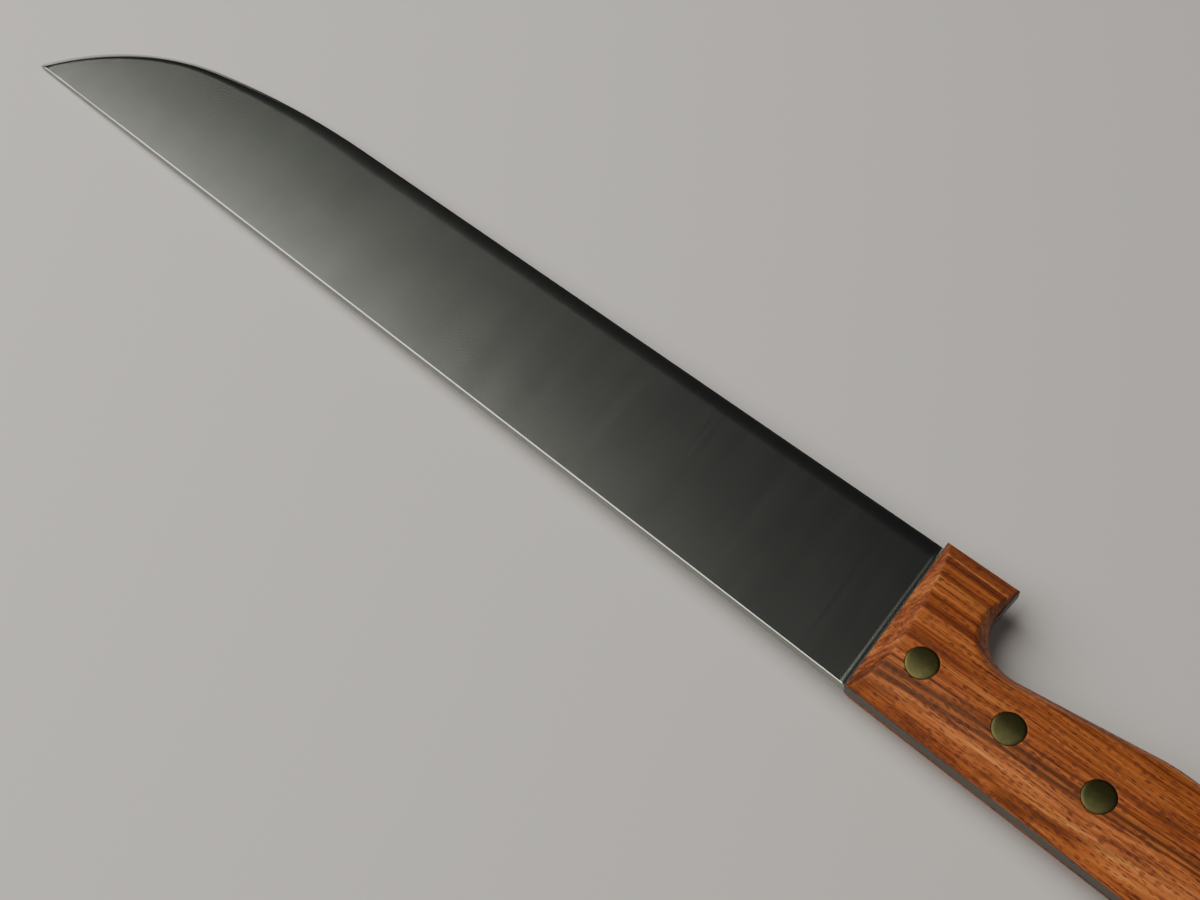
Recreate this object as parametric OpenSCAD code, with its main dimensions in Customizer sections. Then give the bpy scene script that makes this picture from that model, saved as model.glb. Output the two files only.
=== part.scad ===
// Large straight-backed kitchen knife: one steel forging, blade and full tang,
// between two wooden scales that are held by flush two-part brass rivets.
// The knife lies on its side: +X runs to the point, +Y to the spine, +Z up.

/* [Blade] */
// Length of the blade, from the front of the handle at the spine to the point
blade_len = 290.6; // [260:0.1:340]
// Height of the blade at the handle, from spine to cutting edge
heel_height = 44.8; // [42:0.1:50]
// Angle between the cutting edge and the spine, in degrees
edge_taper = 1.8; // [1:0.1:2.5]
// Distance from the handle at which the cutting edge begins to curve
belly_start = 200; // [170:1:210]
// Radius of the belly, the first and flatter curve of the edge
belly_r = 240; // [200:1:260]
// Slope of the edge where the belly passes into the nose, in degrees
nose_slope = 14; // [10:0.5:16]

/* [Grind] */
// Thickness of the steel at the handle, which is also the tang's
stock = 3; // [2.4:0.1:4]
// Thickness at the heel's lower corner, before the edge is ground
heel_thick = 1.5; // [1.2:0.1:2]
// Thickness at the point of the spine, before the edge is ground
point_thick = 2; // [1.4:0.1:2.4]
// Width of the rounded band behind the cutting edge
band_w = 4.5; // [3:0.1:6]
// Thickness of the blade where the band begins
band_thick = 1.56; // [1.2:0.02:1.8]
// Width of the ground bevel of the cutting edge
bevel_w = 0.9; // [0.5:0.1:1.5]
// Thickness of the blade at the top of the bevel
bevel_thick = 0.56; // [0.4:0.02:0.8]
// Flat left on the cutting edge, so that it isn't a knife edge in the model
edge_thick = 0.1; // [0.05:0.01:0.2]
// Easing of the two sharp corners along the spine
spine_ease = 0.4; // [0.2:0.1:0.8]

/* [Handle] */
// Half of the handle's thickness, from the middle of the tang to the crown
crown_z = 9.2; // [8:0.1:11]
// Distance of the crown's ridge from the spine
crown_y = 14.5; // [10:0.1:18]
// Radius of the crown on the spine's side
shoulder_r = 20; // [17:0.5:26]
// Radius of the crown on the cutting edge's side
crown_r = 72; // [60:1:90]
// Radius that rolls the scales over on the finger side and round the butt
roll_r = 10; // [9.6:0.1:12]
// Position of the scales' front end on the spine
front_x = 1.2; // [0:0.1:3]
// Lean of the scales' front end towards the point, in degrees
front_lean = 6.5; // [0:0.5:10]
// Slant of the scales' front face back from upright, in degrees
front_slant = 39; // [20:1:45]
// Width of the strip of full-thickness steel left in front of the scales
ricasso = 0.5; // [0.3:0.1:1]

/* [Finger hook] */
// How far the finger hook stands beyond the line of the cutting edge
hook_proud = 1.2; // [0.5:0.1:3]
// Distance of the hook's back from the front of the handle
hook_len = 14; // [12:0.5:18]
// Radius of the finger notch
notch_r = 12; // [10:0.5:13]
// Distance of the notch's centre from the spine
notch_y = 38.3; // [36:0.1:42]

/* [Palm swell and butt] */
// Slope of the handle's lower line behind the notch, in degrees
swell_slope = 10; // [8:0.5:12]
// Distance of the palm swell's crest from the front of the handle
palm_x = 70.5; // [66:0.5:76]
// Radius of the palm swell
palm_r = 45; // [35:1:55]
// Slope of the line behind the palm swell, in degrees
relief_slope = 7; // [4:0.5:9]
// Radius of the hollow in front of the beak
hollow_r = 60; // [50:1:70]
// Slope of the beak's front, in degrees
beak_slope = 25; // [20:1:30]
// Radius of the beak's tip
beak_r = 9; // [8:0.5:10]
// Lean of the butt's face from upright, in degrees
butt_lean = 6; // [2:0.5:9]
// Radius of the butt's corner on the spine's side
corner_r = 11; // [9:0.5:13]

/* [Rivets] */
// Distance of the first rivet from the front of the handle
rivet_x = 10; // [9:0.1:12]
// Spacing of the first three rivets
rivet_pitch = 24.25; // [22:0.05:26]
// Distance of the last rivet from the front of the handle
last_rivet_x = 100; // [92:0.5:104]
// Distance of the rivets from the spine
rivet_y = 13; // [12:0.1:16]
// Diameter of the rivets' heads
head_d = 8; // [6.4:0.1:9]
// Depth to which the heads are let into the scales
head_depth = 2.5; // [1.5:0.1:3.5]
// Outer diameter of the tubular halves
tube_d = 5.2; // [4.6:0.1:5.6]
// Diameter of the pins that are driven into the tubular halves
pin_d = 3.2; // [2.4:0.1:3.6]
// Length of pin that is held in its tubular half
pin_grip = 9; // [6:0.5:10]

/* [Hidden] */
$fn = 96;
MAX_TURN = 5;            // largest angle between the stations of a swept curve, in degrees
MAX_CHORD = 3;           // largest distance between those stations
OVER = 1;                // allowance of a blank round its outline, and of a cutter or a joint
REACH = 3;               // distance outside an outline from which a cutter starts
HEEL_START = 0.6;        // where the ground blade starts, inside the strip of the tang
BLANK_FRONT = 12;        // front end of a scale's blank
NOSE_END = 85;           // slope at which the nose's curve ends, past the point
FADE = 14;               // length along the spine over which the corner's roll fades out
FADE_RISE = 0.6;         // height by which it has left the spine there
ROLL_STEPS = 8;          // chords round the roll's section
TANG_CLEARANCE = 0.3;    // clearance of the tang's holes round the rivets, in diameter
TUBE_GAP = 0.4;          // gap between a tubular half's end and the pin's head
PIN_GAP = 0.6;           // depth of its bore beyond the end of the pin
BIG = 700;               // reach of a half-space, larger than the knife
tang_z = stock / 2;
hook_x = -hook_len;
notch_c = [hook_x - notch_r, -notch_y];
tang_hole_d = tube_d + TANG_CLEARANCE;
heel_fall = (stock - heel_thick) / 2 / heel_height;
point_fall = (stock - point_thick) / 2 / blade_len;
seat_z = crown_z - head_depth;
tube_end_z = seat_z - TUBE_GAP;
tube_bore_z = seat_z - pin_grip - PIN_GAP;
rivets = [
    -rivet_x,
    -rivet_x - rivet_pitch,
    -rivet_x - 2 * rivet_pitch,
    -last_rivet_x
];

// Unit vector at an angle
function dir(a) = [cos(a), sin(a)];
// Stations round a curve, each its point and the angle of the inward normal there:
// a bulge has its centre inside the outline, a hollow has it outside
function turn(c, r, a0, a1) =
    let (n = ceil(max(abs(a1 - a0) / MAX_TURN, abs(a1 - a0) * PI / 180 * r / MAX_CHORD)))
    [for (i = [0:n]) let (a = a0 + (a1 - a0) * i / n) [c + r * dir(a), a]];
function bulge(c, r, a0, a1) = turn(c, -r, a0, a1);
function hollow(c, r, a0, a1) = turn(c, r, a0, a1);
// The point at a distance inside a station
function inside(station, d) = station[0] + d * dir(station[1]);
// The cutting edge's line, and the hook's end parallel to it
function edge_y(x) = -heel_height + x * tan(edge_taper);
function hook_y(x) = edge_y(x) - hook_proud;

// Cutting edge: a straight line, the belly and the nose, each tangent to the last.
// The nose's radius is the one that carries it through the point.
belly_p = [belly_start, edge_y(belly_start)];
belly_c = belly_p + belly_r * dir(90 + edge_taper);
nose_p = belly_c + belly_r * dir(nose_slope - 90);
nose_n = dir(90 + nose_slope);
to_point = [blade_len, 0] - nose_p;
nose_r = (to_point * to_point) / (2 * to_point * nose_n);
nose_c = nose_p + nose_r * nose_n;
edge = concat(
    [[[0, edge_y(0)], 90 + edge_taper]],
    bulge(belly_c, belly_r, 90 + edge_taper, 90 + nose_slope),
    bulge(nose_c, nose_r, 90 + nose_slope, 90 + NOSE_END)
);

// Finger side of the handle behind the notch: a slope, the palm swell, a hollow,
// the beak, the butt's face and its corner, each tangent to the last.
swell_p = notch_c + notch_r * dir(90 + swell_slope);
palm_px = palm_r * sin(swell_slope) - palm_x;
swell_len = (swell_p[0] - palm_px) / cos(swell_slope);
palm_c = swell_p - swell_len * dir(swell_slope) + palm_r * dir(90 + swell_slope);
hollow_c = palm_c + (palm_r + hollow_r) * dir(-90 - relief_slope);
beak_c = hollow_c + (hollow_r + beak_r) * dir(90 + beak_slope);
butt_p = beak_c - beak_r * dir(-butt_lean);
corner_y = -corner_r + corner_r * sin(butt_lean);
butt_len = (corner_y - butt_p[1]) / cos(butt_lean);
corner_c = butt_p + butt_len * dir(90 - butt_lean) + corner_r * dir(-butt_lean);
hook_tip_y = hook_y(hook_x);
rim = concat(
    hollow(notch_c, notch_r, 0, 90 + swell_slope),
    bulge(palm_c, palm_r, 90 + swell_slope, 90 - relief_slope),
    hollow(hollow_c, hollow_r, 90 - relief_slope, 90 + beak_slope),
    bulge(beak_c, beak_r, 90 + beak_slope, -butt_lean),
    bulge(corner_c, corner_r, -butt_lean, -90)
);
butt_x = beak_c[0] - beak_r;

front_tan = tan(front_lean);
strip_x = front_x + ricasso;
strip_low_x = (strip_x + (heel_height + hook_proud) * front_tan)
    / (1 + tan(edge_taper) * front_tan);

// Moves the knife so that its box stands centred on the origin
module placed() {
    translate([-(blade_len + butt_x) / 2, -hook_tip_y / 2, crown_z])
        children();
}

// Everything on the inner side of the plane n * p = c
module half_space(n, c) {
    rotate([0, acos(n[2] / norm(n)), atan2(n[1], n[0])])
        translate([-BIG / 2, -BIG / 2, c / norm(n) - BIG])
            cube(BIG);
}

// Sweeps a section along a row of stations. A section's points are the distance
// inside the outline and the height; the end caps are fans of those points.
module sweep(stations, section, caps) {
    m = len(section);
    n = len(stations);
    polyhedron(
        points = [
            for (s = stations) for (q = section)
                let (p = inside(s, q[0])) [p[0], p[1], q[1]]
        ],
        faces = concat(
            caps,
            [for (cap = caps) [for (i = [len(cap) - 1:-1:0]) cap[i] + m * (n - 1)]],
            [for (k = [0:n - 2]) for (i = [0:m - 1]) let (j = (i + 1) % m)
                [m * k + j, m * k + i, m * (k + 1) + i, m * (k + 1) + j]]
        )
    );
}

// One side of the blade: its flat, ground in a slight wedge towards the edge and
// the point, with the eased corner of the spine
module ground_side() {
    intersection() {
        half_space([point_fall, -heel_fall, 1], tang_z);
        half_space([point_fall, 1, 1], tang_z - spine_ease);
    }
}

// What grinding takes off along the edge on both sides: the bevel, and the rounded
// band behind it, as far as the flats
module edge_cut() {
    top = tang_z + OVER;
    reach = band_w + (top - band_thick / 2) * band_w / band_thick;
    section = [
        [-REACH, top], [-REACH, -top],
        [reach, -top], [band_w, -band_thick / 2], [bevel_w, -bevel_thick / 2],
        [0, -edge_thick / 2], [0, edge_thick / 2],
        [bevel_w, bevel_thick / 2], [band_w, band_thick / 2], [reach, top]
    ];
    sweep(edge, section, [[1, 2, 3, 4, 5], [1, 5, 6, 0], [0, 6, 7, 8, 9]]);
}

module blade_form() {
    blank = [for (s = edge) let (p = inside(s, -OVER)) if (p[1] < -OVER / 2) p];
    difference() {
        intersection() {
            translate([0, 0, -stock])
                linear_extrude(2 * stock)
                    polygon(concat([[HEEL_START, 0]], blank, [[blade_len + 2 * OVER, 0]]));
            ground_side();
            mirror([0, 0, 1])
                ground_side();
        }
        edge_cut();
    }
}

module tang_form() {
    difference() {
        translate([0, 0, -tang_z])
            linear_extrude(stock)
                polygon(concat(
                    [
                        [strip_x, 0],
                        [strip_low_x, hook_y(strip_low_x)],
                        [hook_x, hook_tip_y]
                    ],
                    [for (s = rim) s[0]]
                ));
        for (x = rivets)
            translate([x, -rivet_y, -stock])
                cylinder(h = 2 * stock, d = tang_hole_d);
    }
}

module blade() {
    color("dimgray")
        placed() {
            blade_form();
            tang_form();
        }
}

// Cross-section of the crowned handle above the middle of the tang, swept along it
module crown_form() {
    rotate([90, 0, 90])
        translate([0, 0, butt_x - REACH])
            linear_extrude(BLANK_FRONT - butt_x + 2 * REACH) {
                intersection() {
                    translate([-crown_y, crown_z - crown_r])
                        circle(crown_r);
                    translate([-crown_y - crown_r, 0])
                        square([crown_r, crown_r]);
                }
                intersection() {
                    translate([-crown_y, crown_z - shoulder_r])
                        circle(shoulder_r);
                    translate([-crown_y, 0])
                        square([crown_y, shoulder_r]);
                }
            }
}

// What rolling the edge over takes off, from the hook's tip round to the spine,
// where it fades out
module edge_roll() {
    top = crown_z + OVER;
    end = asin((crown_z + OVER / 10) / roll_r);
    section = concat(
        [[-REACH, top], [roll_r - roll_r * cos(end), top]],
        [
            for (i = [ROLL_STEPS:-1:0])
                [roll_r, 0] + roll_r * dir(180 - end * i / ROLL_STEPS)
        ],
        [[-REACH, 0]]
    );
    path = concat(
        [[[hook_x, hook_tip_y - REACH], 0]],
        rim,
        [[[corner_c[0] + FADE, FADE_RISE], -90]]
    );
    sweep(path, section, [[for (i = [0:len(section) - 1]) i]]);
}

// A scale as it lies on the tang's upper side
module scale_form() {
    difference() {
        intersection() {
            translate([0, 0, tang_z])
                linear_extrude(crown_z)
                    polygon(concat(
                        [
                            [BLANK_FRONT, OVER],
                            [BLANK_FRONT, hook_y(BLANK_FRONT)],
                            [hook_x - OVER, hook_y(hook_x - OVER)]
                        ],
                        [for (s = rim) inside(s, -OVER)]
                    ));
            crown_form();
            half_space([1, front_tan, tan(front_slant)],
                front_x + tan(front_slant) * tang_z);
        }
        edge_roll();
        for (x = rivets)
            translate([x, -rivet_y, 0]) {
                cylinder(h = 2 * crown_z, d = tube_d);
                translate([0, 0, seat_z])
                    cylinder(h = crown_z, d = head_d);
            }
    }
}

module top_scale() {
    color("sienna")
        placed()
            scale_form();
}

module bottom_scale() {
    color("peru")
        placed()
            mirror([0, 0, 1])
                scale_form();
}

// A rivet's head, ground flush with the crown of the scale
module rivet_head(x) {
    intersection() {
        translate([x, -rivet_y, seat_z])
            cylinder(h = head_depth + OVER, d = head_d);
        crown_form();
    }
}

// Solid half, driven in from the top
module rivet_pin(x) {
    color("olive")
        placed() {
            rivet_head(x);
            translate([x, -rivet_y, seat_z - pin_grip])
                cylinder(h = pin_grip + OVER, d = pin_d);
        }
}

// Tubular half, which stands in the bottom scale and the tang
module rivet_tube(x) {
    color("darkkhaki")
        placed()
            difference() {
                union() {
                    mirror([0, 0, 1])
                        rivet_head(x);
                    translate([x, -rivet_y, -seat_z - OVER])
                        cylinder(h = seat_z + OVER + tube_end_z, d = tube_d);
                }
                translate([x, -rivet_y, tube_bore_z])
                    cylinder(h = 2 * seat_z, d = pin_d);
            }
}

blade();
top_scale();
bottom_scale();
rivet_pin(rivets[0]);  // rivet_pin_1
rivet_pin(rivets[1]);  // rivet_pin_2
rivet_pin(rivets[2]);  // rivet_pin_3
rivet_pin(rivets[3]);  // rivet_pin_4
rivet_tube(rivets[0]);  // rivet_tube_1
rivet_tube(rivets[1]);  // rivet_tube_2
rivet_tube(rivets[2]);  // rivet_tube_3
rivet_tube(rivets[3]);  // rivet_tube_4
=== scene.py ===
"""A long straight-backed kitchen knife with wooden scales and brass rivets, on a pale table.

Lengths are written in millimetres and become metres where a mesh is made. The knife's own
drawing frame has its origin at the heel corner of the spine, on the middle plane of the steel:
x runs to the point, y to the spine and z out of the side that is seen.
"""
import math

import bmesh
import bpy
import numpy as np
from mathutils import Euler, Matrix, Vector


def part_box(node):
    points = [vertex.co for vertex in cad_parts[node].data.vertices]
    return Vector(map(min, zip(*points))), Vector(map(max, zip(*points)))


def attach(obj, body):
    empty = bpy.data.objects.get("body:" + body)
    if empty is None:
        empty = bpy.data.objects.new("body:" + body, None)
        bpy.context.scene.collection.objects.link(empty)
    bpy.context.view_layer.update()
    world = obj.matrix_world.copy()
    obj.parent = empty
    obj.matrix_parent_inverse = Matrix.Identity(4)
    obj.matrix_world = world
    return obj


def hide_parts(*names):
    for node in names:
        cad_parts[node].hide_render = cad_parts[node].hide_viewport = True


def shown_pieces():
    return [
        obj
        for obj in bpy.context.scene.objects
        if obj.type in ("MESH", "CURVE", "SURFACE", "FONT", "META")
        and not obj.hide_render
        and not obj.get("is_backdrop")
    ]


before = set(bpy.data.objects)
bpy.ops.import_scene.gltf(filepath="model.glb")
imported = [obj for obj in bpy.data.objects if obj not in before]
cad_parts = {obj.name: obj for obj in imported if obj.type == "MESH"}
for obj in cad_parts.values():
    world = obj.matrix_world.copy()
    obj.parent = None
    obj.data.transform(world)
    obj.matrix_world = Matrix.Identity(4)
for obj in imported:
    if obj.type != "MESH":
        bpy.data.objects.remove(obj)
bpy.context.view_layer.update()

# ---------------------------------------------------------------------------------------
# Blade and tang: one forging of carbon steel, 3 mm at the spine, ground in a slight wedge
# to the edge and to the point and then finished across on a fine belt. The last few
# millimetres are rounded over by hand and carry a narrow whetted bevel.
# ---------------------------------------------------------------------------------------
MM = 0.001
BLADE_LENGTH = 290.6
HEEL_HEIGHT = 44.8
STOCK_HALF = 1.5
EDGE_TAPER = math.radians(1.8)
BELLY_START, BELLY_RADIUS = 200.0, 240.0
NOSE_SLOPE = math.radians(14)
HEEL_FALL, POINT_FALL = 0.75 / 44.8, 0.5 / 290.6
EDGE_HALF, BEVEL_WIDTH, BEVEL_HALF = 0.05, 0.8, 0.26
BAND_WIDTH, NOSE_BAND_WIDTH, NOSE_LENGTH = 4.6, 2.4, 30.0
SPINE_EASE = 0.3
HEEL_LEAN, FAN_END = math.radians(6.5), 46.0
STRIP_START, STRIP_WIDTH = 1.2, 0.25

# A mesh's points stand close together within CLOSE_WIDTH of the edge, and draw together
# where the blade is lower than FULL_REACH. HAIR is a length too small to see.
CLOSE_WIDTH, FULL_REACH = 6.0, 14.0
HAIR = 0.01
CREASE = math.radians(30)

blade_low, blade_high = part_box("blade")
ORIGIN = np.array([
    blade_high.x - BLADE_LENGTH * MM,
    blade_high.y,
    (blade_low.z + blade_high.z) / 2,
])


def in_frame(points):
    """Points of the knife's drawing frame, in mm, as points of the shared frame in metres."""
    return np.asarray(points) * MM + ORIGIN


def toward(angle):
    """Unit vectors at the angles, on a last axis."""
    return np.stack([np.cos(angle), np.sin(angle)], axis=-1)


def smallest(a, b, ease):
    """The lesser of two heights; where they differ by under ease their crease is rounded."""
    share = np.clip(0.5 + (b - a) / (2 * ease), 0, 1)
    return b + (a - b) * share - ease * share * (1 - share)


def surface(name, points, lids=(), **attributes):
    """A mesh object from rings of points in metres, rings by points by 3. Each ring is joined to
    the next by quads and closes on itself; lids names the rings that are closed as polygons.
    Doubled points are merged, normals face out, and edges sharper than CREASE stay crisp."""
    rings, count = points.shape[:2]
    index = np.arange(rings * count).reshape(rings, count)
    index = np.column_stack([index, index[:, :1]])
    quads = np.stack([index[:-1, :-1], index[1:, :-1], index[1:, 1:], index[:-1, 1:]], axis=-1)
    faces = quads.reshape(-1, 4).tolist() + [index[row, :-1].tolist() for row in lids]
    mesh = bpy.data.meshes.new(name)
    mesh.from_pydata(points.reshape(-1, 3).tolist(), [], faces)
    for key, values in attributes.items():
        mesh.attributes.new(key, "FLOAT", "POINT").data.foreach_set("value", values.ravel())
    shell = bmesh.new()
    shell.from_mesh(mesh)
    bmesh.ops.remove_doubles(shell, verts=shell.verts, dist=1e-7)
    bmesh.ops.recalc_face_normals(shell, faces=shell.faces)
    shell.to_mesh(mesh)
    shell.free()
    mesh.polygons.foreach_set("use_smooth", np.ones(len(mesh.polygons), bool))
    mesh.set_sharp_from_angle(angle=CREASE)
    piece = bpy.data.objects.new(name, mesh)
    bpy.context.scene.collection.objects.link(piece)
    return piece


def blade_edge():
    """The cutting edge as a row of points from the heel to the point, with the inward normal's
    angle at each: a straight line, the belly's arc and the nose's arc, each tangent to the last.
    The nose's radius is the one that carries it through the point of the spine."""
    slope = math.tan(EDGE_TAPER)
    heel_x = STRIP_START + HEEL_HEIGHT * math.tan(HEEL_LEAN)
    along = np.concatenate([
        np.linspace(heel_x, FAN_END, 24), np.linspace(FAN_END + 4, BELLY_START, 60)])
    line = np.column_stack([along, along * slope - HEEL_HEIGHT])
    belly = line[-1] + BELLY_RADIUS * toward(math.pi / 2 + EDGE_TAPER)
    joint = belly + BELLY_RADIUS * toward(NOSE_SLOPE - math.pi / 2)
    inward = toward(math.pi / 2 + NOSE_SLOPE)
    to_point = np.array([BLADE_LENGTH, 0]) - joint
    nose_radius = (to_point @ to_point) / (2 * to_point @ inward)
    nose = joint + nose_radius * inward
    end = math.atan2(-nose[1], BLADE_LENGTH - nose[0])
    turns = [np.linspace(EDGE_TAPER, NOSE_SLOPE, 50)[1:],
             np.linspace(NOSE_SLOPE, end + math.pi / 2, 110)[1:]]
    points = np.concatenate([
        line,
        belly + BELLY_RADIUS * toward(turns[0] - math.pi / 2),
        nose + nose_radius * toward(turns[1] - math.pi / 2),
    ])
    normals = math.pi / 2 + np.concatenate([np.full(len(line), EDGE_TAPER), *turns])
    return points, normals


def blade_half_thickness(x, y, from_edge):
    """The flat is a plane falling to the edge and the point, the bevel a straight ramp, and
    the band between them a parabola, tangent to the flat: b + (flat - b) (2 t - t^2). The
    band narrows in the nose, where the flat reaches almost to the bevel."""
    flat = STOCK_HALF - POINT_FALL * x + HEEL_FALL * y
    width = np.interp(
        x, [BELLY_START, BLADE_LENGTH - NOSE_LENGTH], [BAND_WIDTH, NOSE_BAND_WIDTH])
    share = np.clip((from_edge - BEVEL_WIDTH) / (width - BEVEL_WIDTH), 0, 1)
    band = BEVEL_HALF + (flat - BEVEL_HALF) * share * (2 - share)
    ramp = EDGE_HALF + (BEVEL_HALF - EDGE_HALF) * from_edge / BEVEL_WIDTH
    return np.where(from_edge < BEVEL_WIDTH, ramp, band)


def blade_shell():
    """The ground blade as a ring of points carried along the edge. Each ring goes up one side,
    from the edge along its normal to the spine, and down the other. Points are close together
    behind the edge and over the spine's round; both shrink where the nose grows narrow. The
    rings lean round to the heel, where the shell ends just inside the steel strip."""
    edge, normal = blade_edge()
    lean = np.interp(edge[:, 0], [edge[0, 0], FAN_END], [1, 0]) ** 1.5
    heel_angle = math.pi / 2 + HEEL_LEAN
    angle = normal + lean * (heel_angle - normal)
    reach = np.maximum(-edge[:, 1] / np.sin(angle), 0)
    eased = SPINE_EASE * np.append(1.1, 1 - np.sin(np.linspace(0, math.pi / 2, 6)))
    near = np.concatenate([
        np.linspace(0, BEVEL_WIDTH - HAIR, 4), np.linspace(BEVEL_WIDTH, CLOSE_WIDTH, 22)])
    shrink = np.minimum(1, reach[:, None] / FULL_REACH)
    near = near * shrink
    far = reach[:, None] - eased * shrink
    middle = near[:, -1:] + (far[:, :1] - near[:, -1:]) * np.linspace(0, 1, 26)[1:-1]
    run = np.concatenate([near, middle, far], axis=1)
    plan = edge[:, None] + run[..., None] * toward(angle)[:, None]
    from_edge = run * np.cos(angle - normal)[:, None]
    half = blade_half_thickness(plan[..., 0], plan[..., 1], from_edge)
    to_spine = np.clip((reach[:, None] - run) / SPINE_EASE, 0, 1)
    half = np.maximum(half - SPINE_EASE * (1 - np.sqrt(1 - (1 - to_spine) ** 2)), HAIR)
    top = np.dstack([plan, half])
    ring = np.concatenate([top, (top * [1, 1, -1])[:, ::-1]], axis=1)
    return in_frame(ring), np.concatenate([from_edge, from_edge[:, ::-1]], axis=1)


class Wire:
    """A socket of a material, on which arithmetic adds Math nodes."""

    def __init__(self, finish, socket):
        self.finish, self.socket = finish, socket

    def math(self, operation, *values):
        """Any Math node, on sockets and numbers."""
        return self.finish.node("ShaderNodeMath", {"operation": operation}, *values)

    def __add__(self, other):
        return self.math("ADD", self, other)

    def __sub__(self, other):
        return self.math("SUBTRACT", self, other)

    def __rsub__(self, other):
        return self.math("SUBTRACT", other, self)

    def __mul__(self, other):
        return self.math("MULTIPLY", self, other)

    __radd__, __rmul__ = __add__, __mul__

    def apart(self, level):
        """Distance of the value from a level."""
        return self.math("ABSOLUTE", self - level)

    def step(self, low, high):
        """0 below low, 1 above high, and a smooth rise between them, or a fall if low > high."""
        return self.finish.node(
            "ShaderNodeMapRange", {"interpolation_type": "SMOOTHSTEP"}, self, low, high)


class Finish:
    """A node material. node() adds any node: its settings first, then its sockets' values or
    links, in order or by name."""

    def __init__(self, name, **constants):
        self.material = bpy.data.materials.new(name)
        self.material.use_nodes = True
        self.tree = self.material.node_tree
        self.shader = self.tree.nodes["Principled BSDF"]
        self.set(self.shader, constants)

    def set(self, node, values):
        """Gives a node's sockets, by name or order, their values or links."""
        for key, value in values.items():
            socket = node.inputs[key.replace("_", " ") if isinstance(key, str) else key]
            if isinstance(value, Wire):
                self.tree.links.new(value.socket, socket)
            else:
                socket.default_value = value

    def node(self, kind, settings=None, *values, output=0, **named):
        made = self.tree.nodes.new(kind)
        for key, value in (settings or {}).items():
            if key == "stops":
                ramp = made.color_ramp
                for _ in value[2:]:
                    ramp.elements.new(0.5)
                for element, (place, colour) in zip(ramp.elements, value):
                    element.position, element.color = place, (*colour, 1)
            else:
                setattr(made, key, value)
        self.set(made, dict(enumerate(values)))
        self.set(made, named)
        return Wire(self, made.outputs[output])

    def place(self, scale, turn=(0, 0, 0)):
        """Object coordinates, turned and then stretched: a larger scale is a finer pattern."""
        here = self.node("ShaderNodeTexCoord", output="Object")
        turned = self.node("ShaderNodeMapping", None, here, Rotation=turn)
        return self.node("ShaderNodeVectorMath", {"operation": "MULTIPLY"}, turned, scale)

    def noise(self, where, detail=2.0, roughness=0.5):
        """Smooth noise between 0 and 1 at places that are already to scale."""
        return self.node("ShaderNodeTexNoise", None, Vector=where, Scale=1.0,
                         Detail=detail, Roughness=roughness)

    def blend(self, share, first, second):
        """A mix of two colours, the second in the given share. The node's sockets for colours
        share their names with those for numbers, so they are set by their order."""
        made = self.node("ShaderNodeMix", {"data_type": "RGBA"}, output=2)
        self.set(made.socket.node, {0: share, 6: self.colour(first), 7: self.colour(second)})
        return made

    def colour(self, value):
        """A colour as a link, or as red, green and blue with an opaque alpha."""
        return value if isinstance(value, Wire) else (*value, 1)

    def attribute(self, name):
        """A value that the mesh carries at its points."""
        return self.node("ShaderNodeAttribute", {"attribute_name": name}, output="Fac")

    def bump(self, height, strength, distance):
        """A normal that follows a height between 0 and 1; distance is in metres."""
        return self.node("ShaderNodeBump", None, Height=height, Strength=strength,
                         Distance=distance)


# Between these two places along x, in metres, the bevel is painted lighter and rougher: a painted
# highlight near the point.
GLINT_FROM, GLINT_TO = 0.13, 0.18


def steel_finish():
    """Belt-finished steel: faint marks that run across the blade, a slight cloudiness, a whetted
    bevel with a painted highlight that is brightest near the point, and the dull, darkened steel
    of the tang. The bevel is told by from_edge in millimetres and the point by x in metres."""
    steel = Finish("satin_steel", Metallic=1.0)
    across = (0, 0, math.radians(-8))
    marks = steel.noise(steel.place((1500, 45, 45), across), 3, 0.6)
    bands = steel.noise(steel.place((240, 20, 20), across), 2)
    clouds = steel.noise(steel.place((35, 60, 60)), 3)
    whetted = steel.attribute("from_edge").step(0.85, 0.7)
    lengthwise = steel.node("ShaderNodeSeparateXYZ", None, steel.place((1, 1, 1)))
    # Painted highlight: the whetted bevel is lightened towards the point.
    point_glint = whetted * lengthwise.step(GLINT_FROM, GLINT_TO)
    dull = steel.attribute("dull")
    tint = steel.blend(clouds.step(0.3, 0.7), (0.39, 0.42, 0.38), (0.43, 0.45, 0.41))
    tint = steel.blend(marks.step(0.4, 0.7) * 0.15, tint, (0.30, 0.32, 0.29))
    # The bevel's own lighter tint, with the painted highlight near the point on top of it.
    tint = steel.blend(whetted * 0.3 + point_glint * 0.6, tint, (0.85, 0.86, 0.80))
    tint = steel.blend(dull, tint, (0.115, 0.125, 0.110))
    steel.set(steel.shader, {
        "Base Color": tint,
        "Roughness": 0.175 + marks * 0.04 + bands * 0.02 + point_glint * 0.30 + dull * 0.25,
        "Normal": steel.bump(marks, 0.12, 0.00001),
    })
    return steel.material


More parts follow.
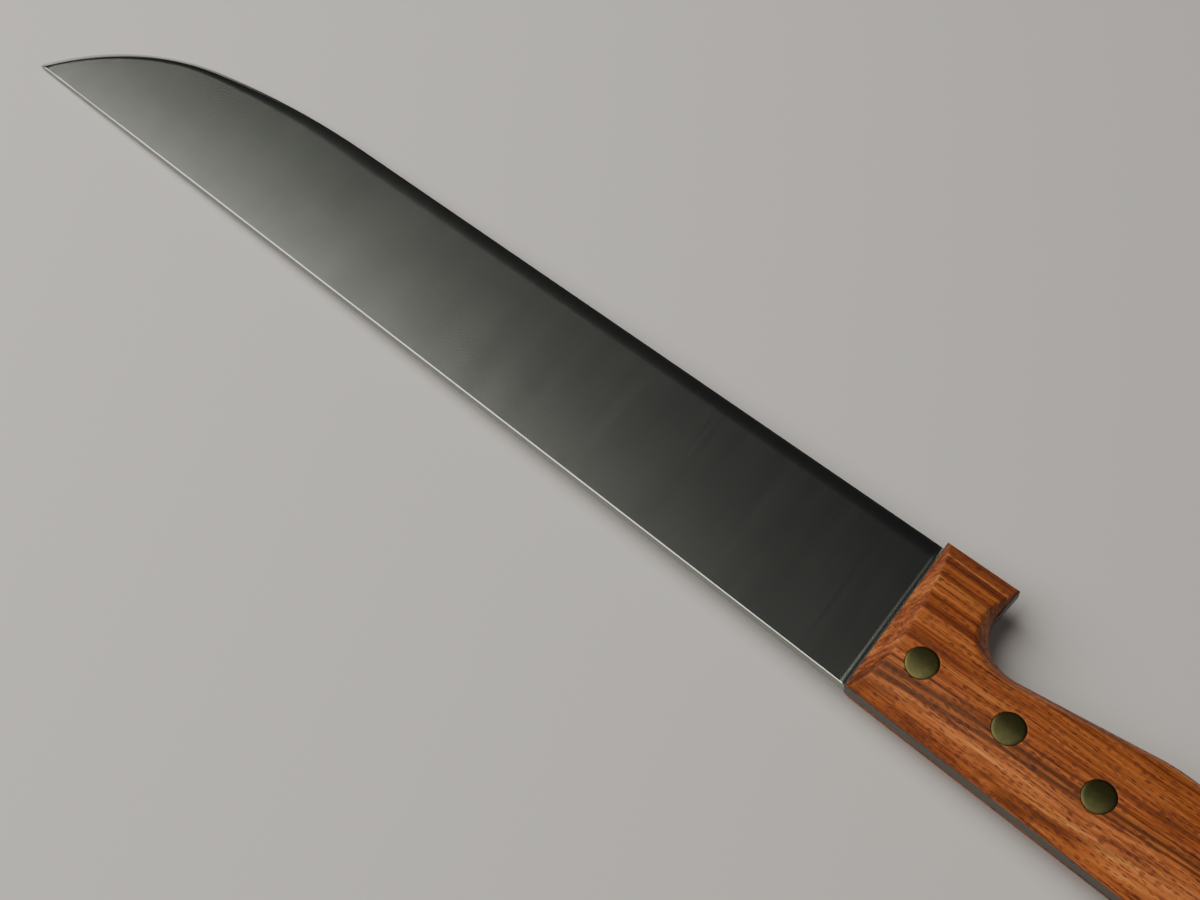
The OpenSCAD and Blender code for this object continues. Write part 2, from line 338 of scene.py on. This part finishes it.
# ---------------------------------------------------------------------------------------
# Tang: the rest of the same forging, left at full thickness and ground flush with the
# scales, so that its edge shows as a grey line all round the handle. Its outline has a
# finger hook, a round notch, a palm swell, a hollow, a beak and a leaning butt.
# ---------------------------------------------------------------------------------------
class Outline:
    """The handle's finger side and butt, as straight and round stretches, each tangent to the
    last. A stretch is a line (start, end) or an arc (centre, radius, start, end), whose angles
    are those of the inward normal; a negative radius is a bulge, with its centre inside. The
    last line lies along the spine and moves away from it over FADE, so the roll fades there."""

    NOTCH_RADIUS, NOTCH_Y, HOOK_BACK, HOOK_PROUD = 12.0, -38.3, -14.0, 1.2
    SWELL, PALM_X, PALM_RADIUS = math.radians(10), -70.5, 45.0
    RELIEF, HOLLOW_RADIUS = math.radians(7), 60.0
    BEAK, BEAK_RADIUS = math.radians(25), 9.0
    BUTT_LEAN, CORNER_RADIUS = math.radians(6), 11.0
    FADE, FADE_RISE = 14.0, 0.6
    HOOK_BACK_LENGTH, FAR = 20, 99.0
    ROWS = (50, 28, 64, 76, 40, 76, 56)
    SPINE_MARKS = (0, 12, 16, 29, 62, 75, 104)

    def __init__(self):
        quarter = math.pi / 2
        notch = np.array([self.HOOK_BACK - self.NOTCH_RADIUS, self.NOTCH_Y])
        swell = notch + self.NOTCH_RADIUS * toward(quarter + self.SWELL)
        palm_x = self.PALM_RADIUS * math.sin(self.SWELL) + self.PALM_X
        run = (swell[0] - palm_x) / math.cos(self.SWELL)
        palm_start = swell - run * toward(self.SWELL)
        palm = palm_start + self.PALM_RADIUS * toward(quarter + self.SWELL)
        hollow = palm + (self.PALM_RADIUS + self.HOLLOW_RADIUS) * toward(-quarter - self.RELIEF)
        beak = hollow + (self.HOLLOW_RADIUS + self.BEAK_RADIUS) * toward(quarter + self.BEAK)
        butt_low = beak - self.BEAK_RADIUS * toward(-self.BUTT_LEAN)
        corner_y = -self.CORNER_RADIUS * (1 - math.sin(self.BUTT_LEAN))
        rise = (corner_y - butt_low[1]) / math.cos(self.BUTT_LEAN)
        butt_high = butt_low + rise * toward(quarter - self.BUTT_LEAN)
        self.corner = butt_high + self.CORNER_RADIUS * toward(-self.BUTT_LEAN)
        self.hook_tip = np.array([self.HOOK_BACK, self.hook_end(self.HOOK_BACK)])
        self.arcs = [
            (notch, self.NOTCH_RADIUS, 0, quarter + self.SWELL),
            (palm, -self.PALM_RADIUS, quarter + self.SWELL, quarter - self.RELIEF),
            (hollow, self.HOLLOW_RADIUS, quarter - self.RELIEF, quarter + self.BEAK),
            (beak, -self.BEAK_RADIUS, quarter + self.BEAK, -self.BUTT_LEAN),
            (self.corner, -self.CORNER_RADIUS, -self.BUTT_LEAN, -quarter),
        ]
        notch_top = notch + [self.NOTCH_RADIUS, 0]
        spine_end = self.corner + [0, self.CORNER_RADIUS]
        self.lines = [
            (notch_top - [0, self.HOOK_BACK_LENGTH], notch_top),
            (swell, palm_start),
            (butt_low, butt_high),
            (spine_end, spine_end + [self.FADE, self.FADE_RISE]),
        ]

    def hook_end(self, x):
        """Height in plan of the hook's end, which runs along the cutting edge's line."""
        return x * math.tan(EDGE_TAPER) - HEEL_HEIGHT - self.HOOK_PROUD

    def inset(self, points):
        """How far inside the outline the points lie: the least distance to any stretch, where
        a line counts between its ends' normals and an arc within its angles."""
        least = np.full(points.shape[:-1], self.FAR)
        for start, end in self.lines:
            along = (end - start) / np.linalg.norm(end - start)
            share = ((points - start) @ along) / np.linalg.norm(end - start)
            distance = np.abs((points - start) @ [along[1], -along[0]])
            least = np.where((share >= 0) & (share <= 1), np.minimum(least, distance), least)
        for centre, radius, first, last in self.arcs:
            reach = (points - centre) * np.sign(radius)
            middle = (first + last) / 2
            angle = np.arctan2(reach[..., 1], reach[..., 0])
            turned = np.abs((angle - middle + math.pi) % (2 * math.pi) - math.pi)
            distance = np.abs(np.hypot(reach[..., 0], reach[..., 1]) - abs(radius))
            inside = turned <= abs(last - first) / 2
            least = np.where(inside, np.minimum(least, distance), least)
        return least

    def front_foot(self, start):
        """Where a front line that starts at x = start on the spine meets the hook's end."""
        lean = math.tan(HEEL_LEAN)
        x = (start + (HEEL_HEIGHT + self.HOOK_PROUD) * lean) / (1 + math.tan(EDGE_TAPER) * lean)
        return np.array([x, self.hook_end(x)])

    def sides(self, start):
        """Two matching rows of points: along the finger side from the front's foot to the butt,
        and along the spine and its corner. ROWS holds the finger side's points in each stretch,
        and SPINE_MARKS the run along the spine where each stretch starts, so spread that the
        chord between a pair never crosses its neighbours."""
        def row(first, last, count):
            return first + (last - first) * np.linspace(0, 1, count)[:, None]

        def bend(arc, count):
            centre, radius, first, last = arc
            return centre + radius * toward(np.linspace(first, last, count))

        hook_back, swell = self.lines[:2]
        notch, palm, hollow, beak = self.arcs[:4]
        rows = self.ROWS
        pieces = [
            row(self.front_foot(start), self.hook_tip, rows[0]),
            row(self.hook_tip, hook_back[1], rows[1]),
            bend(notch, rows[2]),
            row(*swell, rows[3]),
            bend(palm, rows[4]),
            bend(hollow, rows[5]),
            bend(beak, rows[6]),
        ]
        finger = np.concatenate([pieces[0]] + [piece[1:] for piece in pieces[1:]])
        ends = np.cumsum([0] + [count - 1 for count in rows])
        straight = start - self.corner[0]
        total = straight + self.CORNER_RADIUS * (math.pi / 2 - self.BUTT_LEAN)
        marks = [*(mark + start for mark in self.SPINE_MARKS), total]
        run = np.interp(np.arange(len(finger)), ends, marks)
        run[:rows[0]] *= np.linspace(0, 1, rows[0])
        turn = math.pi / 2 + np.maximum(run - straight, 0) / self.CORNER_RADIUS
        spine = self.corner + self.CORNER_RADIUS * toward(turn)
        spine[:, 0] += np.maximum(straight - run, 0)
        return finger, spine


outline = Outline()


def tang_shell():
    """The flat tang: a ring of four corners, spine and finger side above and below, carried
    from the strip in front of the scales to the butt."""
    finger, spine = outline.sides(STRIP_START + STRIP_WIDTH)
    plan = np.stack([spine, finger, finger, spine], axis=1)
    half = np.broadcast_to(np.array([1, 1, -1, -1]) * STOCK_HALF, plan.shape[:2])
    return in_frame(np.dstack([plan, half]))


def combined(piece, other, operation):
    """The piece joined with another solid or cut by it, as one clean mesh; the other goes."""
    change = piece.modifiers.new("work", "BOOLEAN")
    change.operation, change.solver, change.object = operation, "EXACT", other
    worked = piece.evaluated_get(bpy.context.evaluated_depsgraph_get())
    mesh = bpy.data.meshes.new_from_object(worked)
    piece.modifiers.clear()
    piece.data = mesh
    bpy.data.objects.remove(other)
    return piece


def mark_tang(mesh):
    """Marks the points of the tang as dull and as far from the cutting edge: those behind its
    front, and those of full thickness, which the ground blade never has. The blade's spine is
    marked as half dull."""
    places = np.empty(3 * len(mesh.vertices))
    mesh.vertices.foreach_get("co", places)
    x, y, z = ((places.reshape(-1, 3) - ORIGIN) / MM).T
    front = STRIP_START + STRIP_WIDTH - math.tan(HEEL_LEAN) * y
    on_tang = (x < front - HAIR) | (np.abs(z) > STOCK_HALF - HAIR / 10)
    distance = np.empty(len(x))
    mesh.attributes["from_edge"].data.foreach_get("value", distance)
    mesh.attributes["from_edge"].data.foreach_set(
        "value", np.where(on_tang, HEEL_HEIGHT, distance))
    mesh.attributes.new("dull", "FLOAT", "POINT").data.foreach_set(
        "value", np.where(on_tang, 1.0, np.where(y > -HAIR, 0.5, 0.0)))


ground_blade, distance = blade_shell()
blade = surface("blade_and_tang", ground_blade, lids=(0,), from_edge=distance)
combined(blade, surface("tang", tang_shell(), lids=(0, -1)), "UNION")
mark_tang(blade.data)
blade.data.materials.clear()
blade.data.materials.append(steel_finish())
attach(blade, "root")
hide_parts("blade")

# ---------------------------------------------------------------------------------------
# Scales: two slabs of a heavy red-brown hardwood, glued and riveted to the tang, then
# shaped with it on a belt. The crown falls round to the spine; on the finger side it meets
# the rolled edge in a ridge. The front is sanded off at a slant, and the whole is oiled.
# ---------------------------------------------------------------------------------------
CROWN, RIDGE_Y = 9.2, -14.5
SHOULDER_RADIUS, CROWN_RADIUS, ROLL_RADIUS = 20.0, 72.0, 10.0
FRONT_SLANT, FRONT_BOW = math.radians(39), 0.7
HOOK_ROLL, HOOK_ROLL_START = 2.8, 0.9
RIDGE_CRISP, RIDGE_SOFT, SOFTEN_FROM, SOFTEN_TO = 0.22, 1.0, 30, 75
FRONT_EASE, HOOK_EASE, WALL_EASE = 0.15, 0.1, 0.25
WALL_FOOT, WALL_SLOPE = 2.35, 5
SCALE_LIP = 0.05
CROWDING = 0.105


def crown_height(y):
    """Height of the crowned handle: an arc on each side of the ridge, highest there."""
    radius = np.where(y > RIDGE_Y, SHOULDER_RADIUS, CROWN_RADIUS)
    return CROWN - radius + np.sqrt(np.maximum(radius ** 2 - (y - RIDGE_Y) ** 2, 0))


def scale_height(plan):
    """Height of a scale over the middle of the tang. It is the least of the crown; the roll,
    a quarter circle in the distance from the outline; the slanted and slightly bowed front;
    the small roll of the hook's end; and the steep wall along the spine. The ridge between
    crown and roll softens towards the butt."""
    x, y = plan[..., 0], plan[..., 1]
    crown = crown_height(y)
    depth = np.minimum(outline.inset(plan), ROLL_RADIUS)
    roll = np.sqrt(ROLL_RADIUS ** 2 - (ROLL_RADIUS - depth) ** 2)
    bow = FRONT_BOW * np.clip(1 - ((y + HEEL_HEIGHT / 2) / (HEEL_HEIGHT / 2)) ** 2, 0, 1)
    behind = STRIP_START - x - math.tan(HEEL_LEAN) * y
    front = STOCK_HALF + np.maximum(behind, 0) / (math.tan(FRONT_SLANT) - bow / CROWN)
    hook = np.clip(y - outline.hook_end(x), 0, HOOK_ROLL)
    end = HOOK_ROLL_START + np.sqrt(HOOK_ROLL ** 2 - (HOOK_ROLL - hook) ** 2)
    end = np.where(hook < HOOK_ROLL, end, CROWN * 2)
    soften = np.interp(-x, [SOFTEN_FROM, SOFTEN_TO], [RIDGE_CRISP, RIDGE_SOFT])
    height = smallest(smallest(crown, roll, soften), front, FRONT_EASE)
    height = smallest(height, end, HOOK_EASE)
    wall = WALL_FOOT - WALL_SLOPE * y
    return np.maximum(smallest(height, wall, WALL_EASE), STOCK_HALF + SCALE_LIP)


def scale_shell(side):
    """A scale as rings across the handle, carried from the front to the butt. A ring runs over
    the top from the spine to the finger side, with its points crowded near the edges, and back
    along the tang. side is 1 for the scale that is seen and -1 for the one below."""
    finger, spine = outline.sides(STRIP_START)
    share = np.linspace(0, 1, 96)
    share = share - CROWDING * np.sin(2 * math.pi * share)
    plan = spine[:, None] + (finger - spine)[:, None] * share[:, None]
    top = np.dstack([plan, scale_height(plan)])
    under = np.dstack([plan, np.full(plan.shape[:2], STOCK_HALF)])
    return in_frame(np.concatenate([top, under[:, ::-1]], axis=1) * [1, 1, side])


LAYER_LEAN = (math.radians(-50), 0, math.radians(-1.8))
LAYER_SWAY, LINE_SWAY = 0.006, 0.0016
DARK_X, DARK_Y = -38.6, -10.6
DARK_LINES = ((-0.0011, 0.00020), (0.0, 0.00036), (0.0008, 0.00024))


def wood_finish():
    """Oiled red-brown hardwood as a solid pattern. Growth layers lie aslant in the handle and
    drift a little along it, so they run on from the crown over the slanted front. Bands and
    streaks follow the layers, and faint dark lines are level lines of a coarser banding. A
    group of three distinct dark lines, each a depth and a half width in metres, lies around
    the layer through the dark point. Fibres and short dark pores only follow the grain. The
    oil leaves a soft sheen."""
    wood = Finish("oiled_hardwood", IOR=1.40, Coat_Weight=0.04, Coat_Roughness=0.25,
                  Specular_Tint=(1.0, 0.55, 0.32, 1))
    sway = wood.noise(wood.place((11, 25, 25)), 2) - 0.5

    def along_grain(scale, detail, roughness=0.5):
        """Noise at a scale along the grain, through the layers and along the layers."""
        aside = wood.node("ShaderNodeCombineXYZ", None,
                          0.0, sway * (scale[1] * LAYER_SWAY), 0.0)
        where = wood.node("ShaderNodeVectorMath", {"operation": "ADD"},
                          wood.place(scale, LAYER_LEAN), aside)
        return wood.noise(where, detail, roughness)

    bands = along_grain((3, 230, 70), 2)
    streaks = along_grain((8, 820, 340), 3, 0.6)
    fibres = along_grain((30, 1700, 1700), 4, 0.7)
    layers = along_grain((0.9, 520, 16), 1, 0.35)
    hues = wood.node("ShaderNodeValToRGB", {"stops": [
        (0.385, (0.095, 0.021, 0.007)), (0.450, (0.210, 0.050, 0.015)),
        (0.51, (0.370, 0.102, 0.027)), (0.570, (0.510, 0.160, 0.041)),
        (0.64, (0.680, 0.275, 0.078))]}, bands * 0.24 + streaks * 0.36 + fibres * 0.40)
    faint = layers.apart(0.44).step(0.030, 0.008) + layers.apart(0.52).step(0.040, 0.010)
    colour = wood.blend(faint * 0.42, hues, (0.080, 0.022, 0.008))
    depth = wood.node("ShaderNodeSeparateXYZ", None,
                      wood.place((1, 1, 1), LAYER_LEAN), output="Y")
    dark_point = Vector(in_frame([DARK_X, DARK_Y, crown_height(DARK_Y)]))
    dark_point.rotate(Euler(LAYER_LEAN))
    depth = depth + sway * LINE_SWAY - dark_point.y
    for level, width in DARK_LINES:
        line = depth.apart(level).step(width, width * 0.4)
        colour = wood.blend(line * (0.55 + streaks * 0.4), colour, (0.050, 0.014, 0.005))
    shade = along_grain((7, 120, 70), 1)
    colour = wood.blend(shade.step(0.52, 0.66) * 0.2, colour, (0.220, 0.056, 0.022))
    cells = wood.place((480, 3600, 3600), LAYER_LEAN)
    pore_shape = wood.node("ShaderNodeTexVoronoi", None, Vector=cells, Scale=1.0,
                           output="Distance")
    pore_kind = wood.node("ShaderNodeTexVoronoi", None, Vector=cells, Scale=1.0, output="Color")
    chosen = wood.node("ShaderNodeSeparateColor", None, pore_kind)
    pores = pore_shape.step(0.50, 0.30) * chosen.step(0.54, 0.62)
    colour = wood.blend(pores * 0.75, colour, (0.040, 0.014, 0.020))
    wood.set(wood.shader, {
        "Base Color": colour,
        "Roughness": 0.42 + fibres * 0.12 + pores * 0.25,
        "Normal": wood.bump(fibres * 0.4 - pores, 0.35, 0.00008),
    })
    return wood.material


RIVET_XS = (-10.0, -34.25, -58.5, -100.0)
RIVET_Y = -13.0
HEAD_RADIUS, SEAT, SEAT_GAP = 4.0, 6.7, 0.06
TUBE_RADIUS, PIN_RADIUS, PIN_GRIP = 2.6, 1.6, 9.0
TURNED_POINTS = 96


def turned(name, x, side, profile):
    """A rivet half, or the cutter for its seat: its profile, rows of radius, height and a share,
    carried round the rivet's axis. The share says how much of the handle's crown the height
    follows, so that a head is sanded to the wood. side is 1 upwards and -1 downwards."""
    radius, height, share = np.array(profile, float).T[..., None]
    angle = np.linspace(0, 2 * math.pi, TURNED_POINTS, endpoint=False)
    plan = np.array([x, RIVET_Y]) + radius[..., None] * toward(angle)
    rise = height + share * crown_height(plan[..., 1])
    return surface(name, in_frame(np.dstack([plan, rise * side])))


wood_material = wood_finish()
over = CROWN + 1
seat_profile = [
    (0, 0, 0), (TUBE_RADIUS, 0, 0), (TUBE_RADIUS, SEAT, 0),
    (HEAD_RADIUS + SEAT_GAP, SEAT, 0), (HEAD_RADIUS + SEAT_GAP, over, 0), (0, over, 0)]
for name, side in (("top_scale", 1), ("bottom_scale", -1)):
    scale = surface(name + "_wood", scale_shell(side), lids=(0, -1))
    for x in RIVET_XS:
        combined(scale, turned("seat", x, side, seat_profile), "DIFFERENCE")
    scale.data.materials.clear()
    scale.data.materials.append(wood_material)
    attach(scale, "root")
    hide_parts(name)

# ---------------------------------------------------------------------------------------
# Rivets: four cutler's rivets of yellow brass. A solid half is driven from above into a
# tubular half from below, and the flat heads are sanded flush with the wood, which dulls
# them with fine scratches and an uneven olive tone. Their colour is painted far darker than
# brass, a painted shade.
# ---------------------------------------------------------------------------------------


def brass_finish():
    """Sanded, dull brass whose colour is painted dark, a painted shade, with an uneven olive film
    and fine scratches along the handle.
    """
    brass = Finish("dull_brass_painted_dark", Metallic=1.0)
    film = brass.noise(brass.place((420, 420, 420)), 3)
    scratches = brass.noise(brass.place((500, 9000, 9000), (0, 0, math.radians(12))), 2)
    # Both film colours are painted far darker than brass: painted shade over the film's uneven
    # olive tone.
    colour = brass.blend(film.step(0.3, 0.7), (0.080, 0.074, 0.029), (0.062, 0.062, 0.025))
    colour = brass.blend(scratches.step(0.60, 0.74) * 0.5, colour, (0.16, 0.145, 0.068))
    brass.set(brass.shader, {
        "Base Color": colour,
        "Roughness": 0.34 + film * 0.05 + scratches * 0.05,
        "Normal": brass.bump(scratches, 0.15, 0.00002),
    })
    return brass.material


EASED, FLUSH = 0.12, 0.01
TUBE_GAP, PIN_GAP = 0.4, 0.6
head = [(HEAD_RADIUS, SEAT, 0), (HEAD_RADIUS, FLUSH - EASED, 1)]
head += [(HEAD_RADIUS - EASED * (1 - math.cos(a)), FLUSH - EASED * (1 - math.sin(a)), 1)
         for a in (0.5, 1.0, math.pi / 2)]
head += [(HEAD_RADIUS * share, FLUSH, 1) for share in (0.8, 0.6, 0.4, 0.2, 0)]
pin = [(0, SEAT - PIN_GRIP, 0), (PIN_RADIUS, SEAT - PIN_GRIP, 0), (PIN_RADIUS, SEAT, 0), *head]
tube_end, bore_end = TUBE_GAP - SEAT, PIN_GRIP + PIN_GAP - SEAT
tube = [(0, bore_end, 0), (PIN_RADIUS, bore_end, 0), (PIN_RADIUS, tube_end, 0),
        (TUBE_RADIUS, tube_end, 0), (TUBE_RADIUS, SEAT, 0), *head]
brass_material = brass_finish()
for number, x in enumerate(RIVET_XS, 1):
    for half, side, profile in (("rivet_pin", 1, pin), ("rivet_tube", -1, tube)):
        rivet = turned(f"{half}_{number}_brass", x, side, profile)
        rivet.data.materials.append(brass_material)
        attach(rivet, "root")
        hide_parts(f"{half}_{number}")

# ---------------------------------------------------------------------------------------
# Table, camera and light. The knife lies on its side and rests on the point and on the
# handle, so the table leans a little in the knife's frame. It is seen from above, with the
# point at the upper left.
# ---------------------------------------------------------------------------------------
TABLE_LEAN, TURN, TABLE_REACH = math.radians(1.659), math.radians(137.58), 3
CAMERA_TILT, CAMERA_DISTANCE, LENS = math.radians(31), 526.055, 63
SENSOR_WIDTH, CLIP_START, CLIP_END = 36, 0.01, 50
AIM = (89.83, -13.52)
SKY_COLOUR, SKY_STRENGTH = (0.80, 0.82, 0.85, 1), 0.025
knife_on_table = Matrix.Rotation(TURN, 3, "Z") @ Matrix.Rotation(TABLE_LEAN, 3, "Y")
to_knife = knife_on_table.transposed()
table_up = to_knife @ Vector((0, 0, 1))
lowest = min(
    np.array([tuple(v.co) for v in piece.data.vertices]).dot(table_up).min()
    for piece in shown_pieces())
aim_x, aim_y = in_frame([*AIM, 0])[:2]
aim = Vector((aim_x, aim_y, (lowest - table_up.x * aim_x - table_up.y * aim_y) / table_up.z))

floor_mesh = bpy.data.meshes.new("table")
corners = [(x * TABLE_REACH, y * TABLE_REACH, 0) for x, y in ((-1, -1), (1, -1), (1, 1), (-1, 1))]
floor_mesh.from_pydata([tuple(aim + to_knife @ Vector(c)) for c in corners], [], [(0, 1, 2, 3)])
floor = bpy.data.objects.new("table", floor_mesh)
bpy.context.scene.collection.objects.link(floor)
paper = Finish("pale_table", Base_Color=(0.62, 0.60, 0.57, 1), Roughness=0.85)
floor.data.materials.append(paper.material)
floor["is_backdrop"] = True


def looking(kind, name, place, target):
    """A camera or light at a place over the table, aimed at a target. Both are in metres, to
    the right, away and up as the camera sees the table."""
    thing = bpy.data.objects.new(name, kind)
    bpy.context.scene.collection.objects.link(thing)
    back = to_knife @ (Vector(place) - Vector(target))
    right = (to_knife @ Vector((0, 1, 0))).cross(back)
    if kind.bl_rna.identifier == "Camera":
        right = to_knife @ Vector((1, 0, 0))
    right.normalize()
    back.normalize()
    turn = Matrix((right, back.cross(right), back)).transposed()
    thing.matrix_world = Matrix.Translation(aim + to_knife @ Vector(place)) @ turn.to_4x4()
    return thing


lens = bpy.data.cameras.new("camera")
lens.lens, lens.sensor_width = LENS, SENSOR_WIDTH
lens.clip_start, lens.clip_end = CLIP_START, CLIP_END
away = CAMERA_DISTANCE * MM
bpy.context.scene.camera = looking(
    lens, "camera", (0, -away * math.sin(CAMERA_TILT), away * math.cos(CAMERA_TILT)), (0, 0, 0))

for name, place, size, power, shade in (
        ("window", (-0.74, 0.21, 1.0), 1.6, 24, (1.0, 0.97, 0.93)),
        ("fill", (1.3, -1.2, 1.4), 1.2, 4, (0.95, 0.97, 1.0))):
    lamp = bpy.data.lights.new(name, "AREA")
    lamp.shape, lamp.size, lamp.energy, lamp.color = "DISK", size, power, shade
    looking(lamp, name, place, (0, 0, 0))

sky = bpy.data.worlds.new("studio")
sky.use_nodes = True
background = sky.node_tree.nodes["Background"]
background.inputs["Color"].default_value = SKY_COLOUR
background.inputs["Strength"].default_value = SKY_STRENGTH
bpy.context.scene.world = sky
